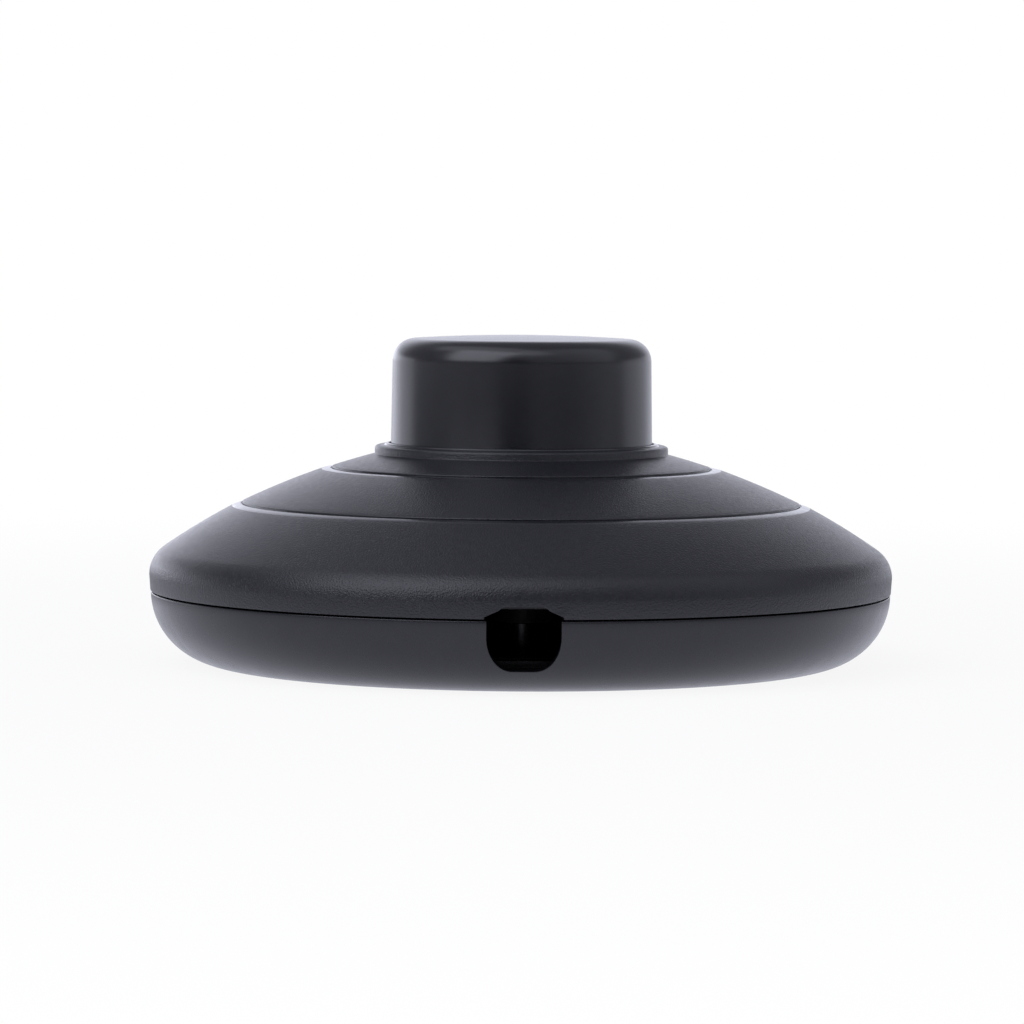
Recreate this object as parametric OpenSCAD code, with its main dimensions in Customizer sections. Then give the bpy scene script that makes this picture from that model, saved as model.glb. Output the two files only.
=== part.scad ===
// Foot switch for a lamp cord: a low round housing with a push button on top.
// Pressing the button turns a toothed rotor, which carries a contact bridge on
// and off two fixed contacts. Origin: centre of the underside, +Z up,
// the front cord opening faces -Y. Millimetres.

/* [Housing] */
// Widest diameter of the housing
housing_d = 70; // [68:0.5:80]
// Height of the parting line between the two shells
split_h = 6.85; // [6.4:0.05:7.6]
// Visible gap between the two shells
split_gap = 0.16; // [0.08:0.02:0.3]
// Wall thickness of both shells
wall = 2; // [1.6:0.1:2.4]
// Thickness of the base floor
floor_t = 2; // [1.6:0.1:2.4]
// Width of the rounded edge under the base
edge_w = 6.95; // [6:0.05:7.4]
// Radius of the rounded rim above the parting line
rim_r = 3; // [2:0.1:3.6]
// Diameter of the bare panel sunk into the underside
panel_d = 38; // [30:1:40]
// Depth of that panel
panel_depth = 0.4; // [0.2:0.1:0.6]

/* [Ring steps] */
// Diameter of the lower ring step
lower_ring_d = 54.5; // [52:0.5:57]
// Height of the lower ring step
lower_ring_h = 14.8; // [14.2:0.1:15.2]
// Diameter of the upper ring step
upper_ring_d = 37.7; // [35:0.1:41]
// Height of the upper ring step
upper_ring_h = 18.3; // [17.8:0.1:18.6]
// Width of the smooth band on each ring step
band_w = 0.86; // [0.5:0.02:1.2]
// Slope of the lower ring's band in degrees
lower_band_slope = 18; // [10:1:24]
// Slope of the upper ring's band in degrees
upper_band_slope = 8; // [4:1:18]
// Width and depth of the crease above each band
crease = 0.16; // [0.1:0.02:0.24]
// Height of the small face above each crease
crease_face = 0.14; // [0.08:0.02:0.24]
// How far the sloping tiers bulge above a straight line
tier_bulge = 0.11; // [0.04:0.01:0.2]

/* [Collar] */
// Height of the collar's top above the table
collar_h = 20.6; // [20.2:0.1:21.6]
// Height of the collar's outer wall
collar_wall_h = 0.85; // [0.5:0.05:1.1]
// Width of the collar round the button
collar_w = 1.3; // [1.1:0.1:2]
// Thickness of the shoulder that stops the button
shoulder_t = 2; // [1.6:0.1:2.4]

/* [Push button] */
// Diameter of the button where it leaves the collar
button_d = 24.7; // [23.5:0.1:25.5]
// How far the button stands above the collar at rest
button_proud = 10.35; // [8:0.05:12]
// Loss of radius between the collar and the button's top, for draft
button_draft = 0.15; // [0:0.05:0.4]
// Radius of the button's rounded top edge
button_edge_r = 2.1; // [1:0.1:3]
// How far the button's top is domed
button_dome = 0.32; // [0.05:0.01:0.4]
// Wall of the button
button_wall = 2.05; // [1.6:0.05:2.1]
// Thickness of the button's top
button_top_t = 2.35; // [1.6:0.05:2.6]
// How far the button travels when it is pressed
travel = 3; // [2.4:0.1:3.2]
// Radial gap between the button and the collar
button_gap = 0.18; // [0.12:0.02:0.3]
// How far the button's flange and keys stand out from its side
flange_w = 1.15; // [0.9:0.05:1.4]
// Height of the flange
flange_t = 1.5; // [1.2:0.1:1.8]

/* [Cord openings] */
// Width of each cord opening
opening_w = 6.6; // [6:0.1:7.2]
// Height of the opening's lower edge above the inside floor
opening_lift = 0.2; // [0.1:0.05:0.5]
// Width of the opening's rounded lower corners
opening_corner = 2.3; // [1.5:0.1:2.8]
// Height of the opening's rounded lower corners
opening_corner_h = 3.1; // [2:0.1:3.4]
// Height of the opening above the parting line
notch_h = 1.2; // [0.8:0.1:1.5]
// Width of the flat at the top of the opening
notch_flat_w = 2.9; // [2.4:0.1:4.4]

/* [Switch mechanism] */
// Number of ratchet teeth on the rotor, twice the number of contact arms
teeth = 8; // [8:4:12]
// Thickness of the rotor's disc
disc_t = 1.2; // [1:0.1:1.5]
// Thickness of the floor of the mechanism's cup
cup_floor_t = 1.4; // [1.2:0.1:1.8]
// Thickness of the mechanism's top plate
plate_t = 1.2; // [1:0.1:1.5]
// Thickness of the brass terminal strips
strip_t = 0.5; // [0.4:0.05:0.6]
// Height of the silver contact tips
tip_h = 0.4; // [0.3:0.05:0.6]
// Thickness of the contact bridge
bridge_t = 0.6; // [0.5:0.05:0.8]
// Height of the contact spring
contact_spring_h = 2.05; // [1.8:0.05:2.6]
// Wire diameter of the return spring
wire_d = 0.9; // [0.7:0.05:1]
// Turns of the return spring
coil_turns = 6; // [5:0.5:6.5]

/* [Fasteners] */
// Radius of the screw shanks
shank_r = 1.2; // [1:0.05:1.3]
// Radial gap between a shank and the hole that it holds in
hold_gap = 0.05; // [0.02:0.01:0.08]
// Radial gap between a shank and the hole that it passes through
pass_gap = 0.3; // [0.2:0.05:0.4]
// Radius of the housing screws' heads
housing_head_r = 2.4; // [2:0.1:2.5]
// Height of the screw heads
head_h = 1.5; // [1.2:0.1:1.7]
// How deep the housing screws' heads sit above the underside
head_sink = 1.1; // [0.5:0.1:1.4]

/* [Hidden] */
$fn = 96;

shell_color = "#2f3034";
button_color = "#28292d";
inner_color = "#3b3a3c";
rotor_color = "#b8302a";
brass_color = "#c9a24d";
steel_color = "#b9bcc0";

// Overlap of shapes that are joined or cut, so that no two faces coincide
eps = 0.4;
// Length of a cut that goes right through
far = 60;
// Steps in which a fillet is drawn
arc_n = 8;

// Housing
housing_r = housing_d / 2;
base_top = split_h - split_gap / 2;
cover_z = split_h + split_gap / 2;
base_r = housing_r - 0.15;
flat_r = base_r - edge_w;
floor_r = flat_r;
rim_z = split_h + 1.55;
rim_end_a = 55;
lower_r = lower_ring_d / 2;
upper_r = upper_ring_d / 2;
lip_depth = 1.5;
lip_t = 1.2;
lip_gap = 0.15;
lip_r = base_inner_r(split_h - lip_depth) - lip_gap;
lip_in_r = lip_r - lip_t;

// Button, its guide and the collar
button_r = button_d / 2;
bore_r = button_r + button_gap;
collar_r = bore_r + collar_w;
collar_foot = collar_h - collar_wall_h;
shoulder_z = collar_h - shoulder_t;
flange_r = button_r + flange_w;
flange_top = shoulder_z - 0.1;
flange_z = flange_top - flange_t;
guide_gap = 0.15;
guide_r = flange_r + guide_gap;
guide_wall = 1.45;
guide_out_r = guide_r + guide_wall;
guide_z = flange_z - travel - 1;
key_w = 3;
key_r = flange_r + 0.9;
key_gap = 0.2;
key_top = flange_top - 0.5;
button_top = collar_h + button_proud;
ceiling_z = button_top - button_top_t;
cavity_r = button_r - button_wall;

// Switch mechanism: radii, from the button's cavity inwards
run_gap = 0.35;
slide_gap = 0.2;
mech_r = cavity_r - 2 * run_gap;
cup_wall = 1.4;
cup_in_r = mech_r - cup_wall;
disc_r = cup_in_r - 0.6;
cap_in_r = disc_r - run_gap;
plunger_r = cap_in_r - run_gap;
tooth_w = 2.1;
tooth_out_r = plunger_r - slide_gap;
tooth_in_r = tooth_out_r - tooth_w;
neck_r = tooth_in_r - 0.3;
spigot_t = 0.5;
spigot_in_r = neck_r + slide_gap;
spigot_r = spigot_in_r + spigot_t;

// Switch mechanism: heights, from the base floor up
cup_floor_z = floor_t + cup_floor_t;
tip_z = cup_floor_z + strip_t;
bridge_z = tip_z + tip_h + 0.05;
contact_spring_z = bridge_z + bridge_t;
disc_z = contact_spring_z + contact_spring_h;
disc_top = disc_z + disc_t;
cap_z = disc_top + 0.1;
pitch_a = 360 / teeth;
index_a = pitch_a - 5;
land_a = 3;
ramp_a = pitch_a - land_a;
ramp_p = travel / index_a;
mesh_gap = 0.1;
tooth_top = disc_top + ramp_p * ramp_a;
plunger_t = 1.05;
plunger_z = tooth_top + travel + slide_gap;
plunger_top = plunger_z + plunger_t;
plate_z = plunger_top + slide_gap;
plate_top = plate_z + plate_t;
spigot_h = 2;
spigot_top = plate_top + spigot_h;
neck_top = spigot_top + 0.6;
stem_r = 2;
stem_roof = 2.1;
stem_top = ceiling_z - stem_roof;
plunger_key_w = 2.1;
plunger_key_l = 0.9;
spindle_r = 1.5;
spindle_gap = 0.05;
spindle_reach = 1.45;
spindle_top = plunger_z + spindle_reach;
bearing_r = 2.6;
sleeve_w = 7.4;
wire_r = wire_d / 2;
coil_r = spigot_r + wire_r + 0.15;
boss_r = 3.6;
spring_rib_r = coil_r + wire_r + 1.1;

// Terminals, turned away from the screw posts and from the cord clamps
terminal_a = 30;
tip_r = 0.9;
tip_x = cup_in_r - tip_r - 0.4;
terminal_w = 4;
washer_w = 6;
washer_t = 0.8;
terminal_x = mech_r + washer_w / 2 + 2.6;
wing_w = 9;
wing_end = terminal_x + washer_w / 2 + 0.8;
wing_top = floor_t + 3;
strip_end = wing_end - 0.7;
washer_z = wing_top + strip_t;
terminal_head_r = 2.6;
neutral = [6, 10, 6.5];
neutral_gap = 2.4;
neutral_x = -mech_r - neutral_gap - neutral.x / 2;
neutral_y = neutral.y / 2;
neutral_pitch = neutral.y / 2;
wire_bore_r = 1.7;
wire_bore_z = floor_t + 2.6;

// Screws
pilot_r = shank_r + hold_gap;
pass_r = shank_r + pass_gap;
counterbore_r = housing_head_r + 0.3;
post_r = counterbore_r + 1;
screw_circle_r = floor_r - post_r - slide_gap;
thread_l = 5;
seat_z = head_sink + head_h;
small_head_r = 2.1;
ear_r = 2.8;
ear_y = mech_r + ear_r;
ear_z = floor_t + 3;
cap_ear_t = 1.6;

// Cord openings and clamps
opening_z = floor_t + opening_lift;
clamp_post_r = 2.2;
clamp_y = floor_r - clamp_post_r - 0.8;
clamp_x = opening_w / 2 + 0.3 + clamp_post_r;
clamp_z = opening_z + 5.3;
clamp_t = 2;
clamp_w = 5;

// Points of a circular or elliptical arc about c
function arc(c, rx, ry, a0, a1, n = arc_n) =
    [for (i = [0:n]) let (a = a0 + (a1 - a0) * i / n) c + [rx * cos(a), ry * sin(a)]];

// Points after p up to q on a shallow curve that rises by sag over the straight line
function bulged(p, q, sag, n = arc_n) =
    let (d = q - p, side = [d.y, -d.x] / norm(d))
    [for (i = [1:n]) let (t = i / n) p + d * t + side * sag * 4 * t * (1 - t)];

// Slope in degrees of the line that rises from p to q towards the axis
function slope(p, q) = atan2(q.y - p.y, p.x - q.x);

// The point one wall under p, on a surface that slopes by a degrees
function under(p, a) = p - wall * [sin(a), cos(a)];

// Inner radius of the base at height z
function base_inner_r(z) =
    floor_r + (edge_w - wall) * sqrt(1 - pow((split_h - z) / (split_h - floor_t), 2));

// The band and crease of a ring step whose outer edge is at p, up to the next tier's edge
function ring_step(p, a) =
    let (b = p + band_w * [-cos(a), sin(a)])
    [p, b, b - [0, crease], b - [crease, crease], b + [-crease, crease_face]];

rim_c = [housing_r - rim_r, rim_z];
rim_arc = arc(rim_c, rim_r, rim_r, 0, rim_end_a);
lower_step = ring_step([lower_r, lower_ring_h], lower_band_slope);
upper_step = ring_step([upper_r, upper_ring_h], upper_band_slope);
tier_3 = rim_arc[arc_n];
tier_2 = lower_step[4];
tier_1 = upper_step[4];
foot = [collar_r, collar_foot];
slope_3 = slope(tier_3, lower_step[0]);
slope_2 = slope(tier_2, upper_step[0]);
slope_1 = slope(tier_1, foot);
inner_3 = under(tier_3, slope_3);
inner_2 = under(lower_step[0], slope_3);
inner_1 = under(upper_step[0], slope_2);
inner_foot = under(foot, slope_1);
collar_round = [0.5, 0.3];
bead_h = 0.2;

// Outside of the top cover, from the lip to the bead round the button
cover_outline = concat(
    [[0, split_h - lip_depth], [lip_r, split_h - lip_depth], [lip_r, cover_z], [housing_r - 0.1, cover_z]],
    rim_arc,
    bulged(tier_3, lower_step[0], tier_bulge),
    [lower_step[1], lower_step[2], lower_step[3], tier_2],
    bulged(tier_2, upper_step[0], tier_bulge),
    [upper_step[1], upper_step[2], upper_step[3], tier_1],
    bulged(tier_1, foot, tier_bulge / 4, 4),
    arc([collar_r - collar_round.x, collar_h - collar_round.y], collar_round.x, collar_round.y, 0, 90, 5),
    [[bore_r + 0.4, collar_h], [bore_r + 0.3, collar_h + bead_h * 0.8], [bore_r + 0.15, collar_h + bead_h],
        [0, collar_h + bead_h]]);

// Inside of the top cover: the cavity, the button's guide and its bore
cover_cavity = [
    [0, 0], [lip_in_r, 0],
    [lip_in_r, inner_3.y + (inner_3.x - lip_in_r) * tan(slope_3)],
    inner_2, inner_1,
    [guide_out_r, inner_1.y + (inner_1.x - guide_out_r) * tan(slope_1)],
    [guide_out_r, guide_z], [guide_r, guide_z], [guide_r, shoulder_z],
    [bore_r, shoulder_z], [bore_r, far], [0, far]];

// Section of the base: sunk panel, rest ring, rounded edge, wall and floor
base_profile = concat(
    [[0, panel_depth], [panel_d / 2, panel_depth], [panel_d / 2, 0]],
    arc([flat_r, split_h], edge_w, split_h, -90, -asin(split_gap / 2 / split_h), 14),
    arc([floor_r, split_h], edge_w - wall, split_h - floor_t, -asin(split_gap / 2 / (split_h - floor_t)), -90, 10),
    [[0, floor_t]]);

// Section of the button with its flange, the spring's rib and the plunger's boss
button_profile = concat(
    [[flange_r, flange_z], [flange_r, flange_top], [button_r, flange_top]],
    arc([button_r - button_draft - button_edge_r, button_top - button_dome - button_edge_r],
        button_edge_r, button_edge_r, 0, 90),
    bulged([button_r - button_draft - button_edge_r, button_top - button_dome], [0, button_top], button_dome / 4, 6),
    [[0, stem_top + 0.2], [stem_r + 0.02, stem_top + 0.2], [stem_r + 0.02, neck_top], [boss_r, neck_top],
        [boss_r, ceiling_z], [spring_rib_r, ceiling_z], [spring_rib_r, ceiling_z - 1.5],
        [spring_rib_r + 0.9, ceiling_z - 1.5], [spring_rib_r + 0.9, ceiling_z],
        [cavity_r - 0.6, ceiling_z], [cavity_r, ceiling_z - 0.6], [cavity_r, flange_z]]);

// Three screw places, spaced round the housing
module at_housing_screws() {
    for (a = [0, 120, 240]) rotate(a) translate([screw_circle_r, 0, 0]) children();
}

// Front and rear cord side
module at_cord_sides() {
    for (a = [0, 180]) rotate(a) children();
}

// Left and right terminal side
module at_terminals() {
    for (a = [0, 180]) rotate(terminal_a + a) children();
}

module at_ears() {
    for (s = [-1, 1]) translate([0, s * ear_y, 0]) children();
}

module at_clamp_posts() {
    for (x = [-clamp_x, clamp_x]) translate([x, -clamp_y, 0]) children();
}

// Pan-head screw with a cross recess; its head's underside is at z = 0
module screw(length, head_r = small_head_r) {
    recess_w = head_r * 0.26;
    recess_l = head_r * 1.15;
    difference() {
        rotate_extrude() polygon([[0, -length], [shank_r * 0.5, -length], [shank_r, -length + shank_r * 0.5],
            [shank_r, 0], [head_r, 0], [head_r, head_h * 0.4], [head_r * 0.9, head_h * 0.72],
            [head_r * 0.62, head_h * 0.95], [0, head_h]]);
        for (a = [0, 90]) rotate(a)
            translate([-recess_l / 2, -recess_w / 2, head_h * 0.35]) cube([recess_l, recess_w, head_h]);
    }
}

// Solid between two radii whose underside and top follow stations of [angle, low z, high z]
module ramp_block(r_in, r_out, stations) {
    n = len(stations);
    points = [for (s = stations, q = [[r_in, s[1]], [r_out, s[1]], [r_out, s[2]], [r_in, s[2]]])
        [q[0] * cos(s[0]), q[0] * sin(s[0]), q[1]]];
    sides = [for (i = [0:n - 2], k = [0:3])
        [4 * i + k, 4 * i + (k + 1) % 4, 4 * i + 4 + (k + 1) % 4, 4 * i + 4 + k]];
    polyhedron(points, concat([[3, 2, 1, 0], [for (k = [0:3]) 4 * (n - 1) + k]], sides), convexity = 4);
}

// Round wire swept along stations of [angle, radius, z]
module coil(stations, r, sides_n) {
    n = len(stations);
    points = [for (s = stations, k = [0:sides_n - 1]) let (b = 360 * k / sides_n, d = s[1] + r * cos(b))
        [d * cos(s[0]), d * sin(s[0]), s[2] + r * sin(b)]];
    skin = [for (i = [0:n - 2], k = [0:sides_n - 1]) let (m = (k + 1) % sides_n)
        [i * sides_n + k, i * sides_n + m, (i + 1) * sides_n + m, (i + 1) * sides_n + k]];
    polyhedron(points, concat([[for (k = [sides_n - 1:-1:0]) k]],
        [[for (k = [0:sides_n - 1]) (n - 1) * sides_n + k]], skin), convexity = 10);
}

// Outline of a cord opening below the parting line, drawn in x and height
module opening_outline() {
    w = opening_w / 2;
    c = w - opening_corner;
    translate([-w, opening_z + opening_corner_h]) square([opening_w, split_h - opening_z]);
    translate([-c, opening_z]) square([2 * c, split_h - opening_z]);
    for (x = [-c, c]) translate([x, opening_z + opening_corner_h])
        scale([1, opening_corner_h / opening_corner]) circle(opening_corner);
}

// Outline of the notch above the parting line
module notch_outline() {
    w = opening_w / 2 + 0.2;
    t = notch_flat_w / 2;
    r = 0.5;
    polygon(concat([[-w, split_h - 3], [w, split_h - 3]], [[w, cover_z + 0.2]],
        arc([t, split_h + notch_h - r], r * 1.6, r, 20, 90, 5),
        arc([-t, split_h + notch_h - r], r * 1.6, r, 90, 160, 5), [[-w, cover_z + 0.2]]));
}

// Extrudes an outline in x and height along the cord, through the front wall
module through_wall(depth) {
    translate([0, -housing_r + depth, 0]) rotate([90, 0, 0]) linear_extrude(depth + eps) children();
}

module base_cover() {
    color(shell_color) difference() {
        union() {
            rotate_extrude() polygon(base_profile);
            at_housing_screws() translate([0, 0, floor_t - eps]) cylinder(r = post_r, h = split_h - floor_t + eps);
            at_ears() translate([0, 0, floor_t - eps]) cylinder(r = ear_r, h = ear_z - floor_t + eps);
            at_cord_sides() {
                at_clamp_posts() translate([0, 0, floor_t - eps])
                    cylinder(r = clamp_post_r, h = clamp_z - floor_t + eps);
                for (y = [-1.5, 1.5]) translate([-opening_w / 2, -clamp_y + y - 0.5, floor_t - eps])
                    cube([opening_w, 1, eps + 0.6]);
            }
            neutral_cradle();
        }
        at_housing_screws() {
            translate([0, 0, -1]) cylinder(r = counterbore_r, h = seat_z + 1);
            translate([0, 0, -1]) cylinder(r = pass_r, h = far);
        }
        at_ears() translate([0, 0, floor_t]) cylinder(r = pilot_r, h = far);
        at_cord_sides() {
            at_clamp_posts() translate([0, 0, floor_t + 0.6]) cylinder(r = pilot_r, h = far);
            through_wall(housing_r - floor_r + 1) opening_outline();
        }
    }
}

// Low walls that hold the neutral block on the base floor
module neutral_cradle() {
    gap = 0.1;
    t = 0.9;
    for (s = [-1, 1]) translate([neutral_x + s * (neutral.x / 2 + gap + t / 2) - t / 2,
        neutral_y - neutral.y / 2, floor_t - eps]) cube([t, neutral.y, wire_bore_z - floor_t + eps]);
}

module top_cover() {
    color(shell_color) difference() {
        rotate_extrude() polygon(cover_outline);
        difference() {
            rotate_extrude() polygon(cover_cavity);
            at_housing_screws() translate([0, 0, split_h]) cylinder(r = post_r - 0.7, h = far);
        }
        at_housing_screws() translate([0, 0, split_h - eps]) cylinder(r = pilot_r, h = thread_l + eps + 0.6);
        for (s = [0, 180]) rotate(s) translate([bore_r, -key_w / 2 - key_gap, guide_z - 1])
            cube([key_r + key_gap - bore_r, key_w + 2 * key_gap, key_top + key_gap - guide_z + 1]);
        at_cord_sides() through_wall(housing_r - lip_in_r + 1) notch_outline();
    }
}

module push_button() {
    color(button_color) {
        rotate_extrude() polygon(button_profile);
        for (a = [0, 180]) rotate(a) translate([flange_r - eps, -key_w / 2, flange_z])
            cube([key_r - flange_r + eps, key_w, key_top - flange_z]);
        for (a = [22.5:45:360]) rotate(a) translate([spring_rib_r + 0.5, -0.4, ceiling_z - 1.4])
            cube([cavity_r - spring_rib_r, 0.8, 1.4 + eps]);
    }
}

module plunger() {
    first_a = ramp_a - 0.5;
    low = disc_top + ramp_p * first_a + mesh_gap;
    span_a = (plunger_z - 0.04 - low) / ramp_p;
    steps = 9;
    color(rotor_color) {
        difference() {
            rotate_extrude() polygon([[0, plunger_z], [plunger_r, plunger_z], [plunger_r, plunger_top],
                [neck_r, plunger_top], [neck_r, neck_top], [stem_r, neck_top], [stem_r, stem_top - 0.5],
                [stem_r - 0.5, stem_top], [0, stem_top]]);
            translate([0, 0, plunger_z - 1])
                cylinder(r = spindle_r + spindle_gap, h = spindle_top + travel + 0.3 - plunger_z + 1);
        }
        for (k = [0:3]) rotate(45 + 90 * k) translate([plunger_r - eps, -plunger_key_w / 2, plunger_z])
            cube([plunger_key_l + eps, plunger_key_w, plunger_t]);
        for (k = [0:teeth - 1]) rotate(k * pitch_a) ramp_block(tooth_in_r, tooth_out_r,
            [for (i = [0:steps]) [first_a + span_a * i / steps, low + ramp_p * span_a * i / steps, plunger_z + eps]]);
    }
}

module return_spring() {
    steps = 16;
    height = ceiling_z - plate_top - wire_d;
    close = wire_d * 1.06;
    rise = (height - 2 * close) / (coil_turns - 2);
    color(steel_color) coil([for (i = [0:steps * coil_turns]) let (t = i / steps)
        [360 * t, coil_r, plate_top + wire_r + (t < 1 ? close * t
            : t > coil_turns - 1 ? height - close * (coil_turns - t) : close + rise * (t - 1))]], wire_r, 8);
}

module mechanism_cap() {
    slot_r = plunger_r + plunger_key_l + 0.3;
    slot_w = plunger_key_w + 2 * slide_gap;
    color(inner_color) difference() {
        union() {
            rotate_extrude() polygon([[cap_in_r, cap_z], [mech_r, cap_z], [mech_r, plate_top - 0.5],
                [mech_r - 0.5, plate_top], [spigot_r, plate_top], [spigot_r, spigot_top - 0.3],
                [spigot_r - 0.2, spigot_top], [spigot_in_r, spigot_top], [spigot_in_r, plate_z], [cap_in_r, plate_z]]);
            at_ears() translate([0, 0, cap_z]) cylinder(r = ear_r, h = cap_ear_t);
            for (s = [-1, 1]) translate([-ear_r, s > 0 ? cup_in_r + 0.4 : -ear_y, cap_z])
                cube([2 * ear_r, ear_y - cup_in_r - 0.4, cap_ear_t]);
        }
        for (k = [0:3]) rotate(45 + 90 * k) translate([cap_in_r - 1, -slot_w / 2, cap_z - 1])
            cube([slot_r - cap_in_r + 1, slot_w, plate_z - cap_z + 1]);
        at_ears() translate([0, 0, cap_z - 1]) cylinder(r = pass_r, h = cap_ear_t + 2);
    }
}

module mechanism_body() {
    barrier = 0.8;
    color(inner_color) difference() {
        union() {
            translate([0, 0, floor_t]) cylinder(r = mech_r, h = cap_z - floor_t);
            at_terminals() {
                translate([cup_in_r + 0.4, -wing_w / 2, floor_t])
                    cube([wing_end - cup_in_r - 0.4, wing_w, wing_top - floor_t]);
                for (y = [-wing_w / 2, wing_w / 2 - barrier]) translate([cup_in_r + 0.4, y, wing_top - eps])
                    cube([wing_end - cup_in_r - 0.4, barrier, 1.6 + eps]);
            }
            at_ears() translate([0, 0, ear_z]) cylinder(r = ear_r, h = cap_z - ear_z);
            for (s = [-1, 1]) translate([-ear_r, s > 0 ? cup_in_r + 0.4 : -ear_y, ear_z])
                cube([2 * ear_r, ear_y - cup_in_r - 0.4, cap_z - ear_z]);
        }
        difference() {
            translate([0, 0, cup_floor_z]) cylinder(r = cup_in_r, h = far);
            translate([0, 0, floor_t]) cylinder(r = bearing_r, h = disc_z - 0.2 - floor_t);
        }
        translate([0, 0, cup_floor_z + 0.5]) cylinder(r = spindle_r + spindle_gap, h = far);
        at_terminals() {
            translate([cup_in_r - 1.5, -terminal_w / 2 - 0.2, cup_floor_z])
                cube([mech_r + 1.1 - cup_in_r + 1.5, terminal_w + 0.4, washer_z + 0.3 - cup_floor_z]);
            translate([terminal_x, 0, floor_t + 0.5]) cylinder(r = pilot_r, h = far);
        }
        at_ears() translate([0, 0, ear_z - 1]) cylinder(r = pass_r, h = far);
    }
}

module ratchet_rotor() {
    steps = 9;
    start_a = 0.5;
    color(rotor_color) {
        rotate_extrude() polygon([[0, cup_floor_z + 0.6], [spindle_r, cup_floor_z + 0.6], [spindle_r, disc_z],
            [disc_r, disc_z], [disc_r, disc_top], [spindle_r, disc_top], [spindle_r, spindle_top - 0.3],
            [spindle_r - 0.3, spindle_top], [0, spindle_top]]);
        rotate(terminal_a) difference() {
            translate([-sleeve_w / 2, -sleeve_w / 2, cup_floor_z + 0.6])
                cube([sleeve_w, sleeve_w, disc_z + eps - cup_floor_z - 0.6]);
            cylinder(r = bearing_r + 0.4, h = disc_z);
        }
        for (k = [0:teeth - 1]) rotate(k * pitch_a) ramp_block(tooth_in_r, tooth_out_r, concat(
            [for (i = [0:steps]) let (a = start_a + (ramp_a - start_a) * i / steps)
                [a, disc_top - eps, disc_top + ramp_p * a]],
            [[pitch_a, disc_top - eps, tooth_top]]));
    }
}

module contact_bridge() {
    arm_w = 2.4;
    arm_end = tip_x + tip_r - arm_w / 2;
    hole_w = sleeve_w + 0.3;
    color(brass_color) translate([0, 0, bridge_z]) rotate(terminal_a) linear_extrude(bridge_t) difference() {
        union() {
            circle(sleeve_w / 2 * sqrt(2) + 0.95);
            for (a = [0:2 * pitch_a:359]) rotate(a) {
                translate([0, -arm_w / 2]) square([arm_end, arm_w]);
                translate([arm_end, 0]) circle(arm_w / 2);
            }
        }
        square(hole_w, center = true);
    }
}

module contact_spring() {
    steps = 16;
    turns = 2.5;
    r = 0.25;
    mean_r = sleeve_w / 2 * sqrt(2) + r + 0.27;
    color(steel_color) coil([for (i = [0:steps * turns])
        [360 * i / steps, mean_r, contact_spring_z + r + (contact_spring_h - 2 * r) * i / (steps * turns)]], r, 6);
}

// One brass strip: a finger in the cup, a step up, and a screw pad on the wing
module terminal() {
    bend_x = mech_r + 0.4;
    finger_x = tip_x - 1.3;
    color(brass_color) difference() {
        translate([0, terminal_w / 2, 0]) rotate([90, 0, 0]) linear_extrude(terminal_w) polygon([
            [finger_x, cup_floor_z], [bend_x + strip_t, cup_floor_z], [bend_x + strip_t, wing_top],
            [strip_end, wing_top], [strip_end, wing_top + strip_t], [bend_x, wing_top + strip_t],
            [bend_x, cup_floor_z + strip_t], [finger_x, cup_floor_z + strip_t]]);
        translate([terminal_x, 0, floor_t]) cylinder(r = pass_r, h = far);
    }
}

module live_in_terminal() {
    rotate(terminal_a) terminal();
}

module live_out_terminal() {
    rotate(terminal_a + 180) terminal();
}

module contact_tips() {
    color(steel_color) at_terminals() translate([tip_x, 0, tip_z]) rotate_extrude()
        polygon([[0, 0], [tip_r, 0], [tip_r, tip_h * 0.4], [tip_r * 0.6, tip_h * 0.9], [0, tip_h]]);
}

module neutral_block() {
    color(brass_color) difference() {
        translate([neutral_x - neutral.x / 2, neutral_y - neutral.y / 2, floor_t]) cube(neutral);
        translate([neutral_x, neutral_y, wire_bore_z]) rotate([90, 0, 0])
            cylinder(r = wire_bore_r, h = neutral.y + 2 * eps, center = true);
        for (y = [-0.5, 0.5]) translate([neutral_x, neutral_y + y * neutral_pitch, wire_bore_z])
            cylinder(r = pilot_r, h = far);
    }
}

module neutral_screws() {
    length = floor_t + neutral.z - wire_bore_z - wire_bore_r + 0.2;
    color(steel_color) for (y = [-0.5, 0.5])
        translate([neutral_x, neutral_y + y * neutral_pitch, floor_t + neutral.z]) screw(length);
}

module terminal_screws() {
    color(steel_color) at_terminals() translate([terminal_x, 0, washer_z + washer_t])
        screw(washer_z + washer_t - floor_t - 0.8, head_r = terminal_head_r);
}

module wire_washers() {
    color(brass_color) at_terminals() translate([terminal_x, 0, washer_z]) difference() {
        translate([-washer_w / 2, -washer_w / 2, 0]) cube([washer_w, washer_w, washer_t]);
        translate([0, 0, -1]) cylinder(r = pass_r, h = washer_t + 2);
    }
}

module cord_clamp() {
    end_r = clamp_w / 2;
    color(shell_color) translate([0, -clamp_y, clamp_z]) difference() {
        union() {
            linear_extrude(clamp_t) {
                translate([-clamp_x, -end_r]) square([2 * clamp_x, clamp_w]);
                for (x = [-clamp_x, clamp_x]) translate([x, 0]) circle(end_r - 0.05);
            }
            translate([-opening_w / 2 + 0.2, -0.5, -0.4]) cube([opening_w - 0.4, 1, 0.4 + eps]);
        }
        for (x = [-clamp_x, clamp_x]) translate([x, 0, -1]) cylinder(r = pass_r, h = clamp_t + 2);
    }
}

module front_cord_clamp() {
    cord_clamp();
}

module rear_cord_clamp() {
    rotate(180) cord_clamp();
}

module clamp_screws() {
    color(steel_color) at_cord_sides() at_clamp_posts() translate([0, 0, clamp_z + clamp_t])
        screw(clamp_z + clamp_t - floor_t - 1);
}

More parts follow.
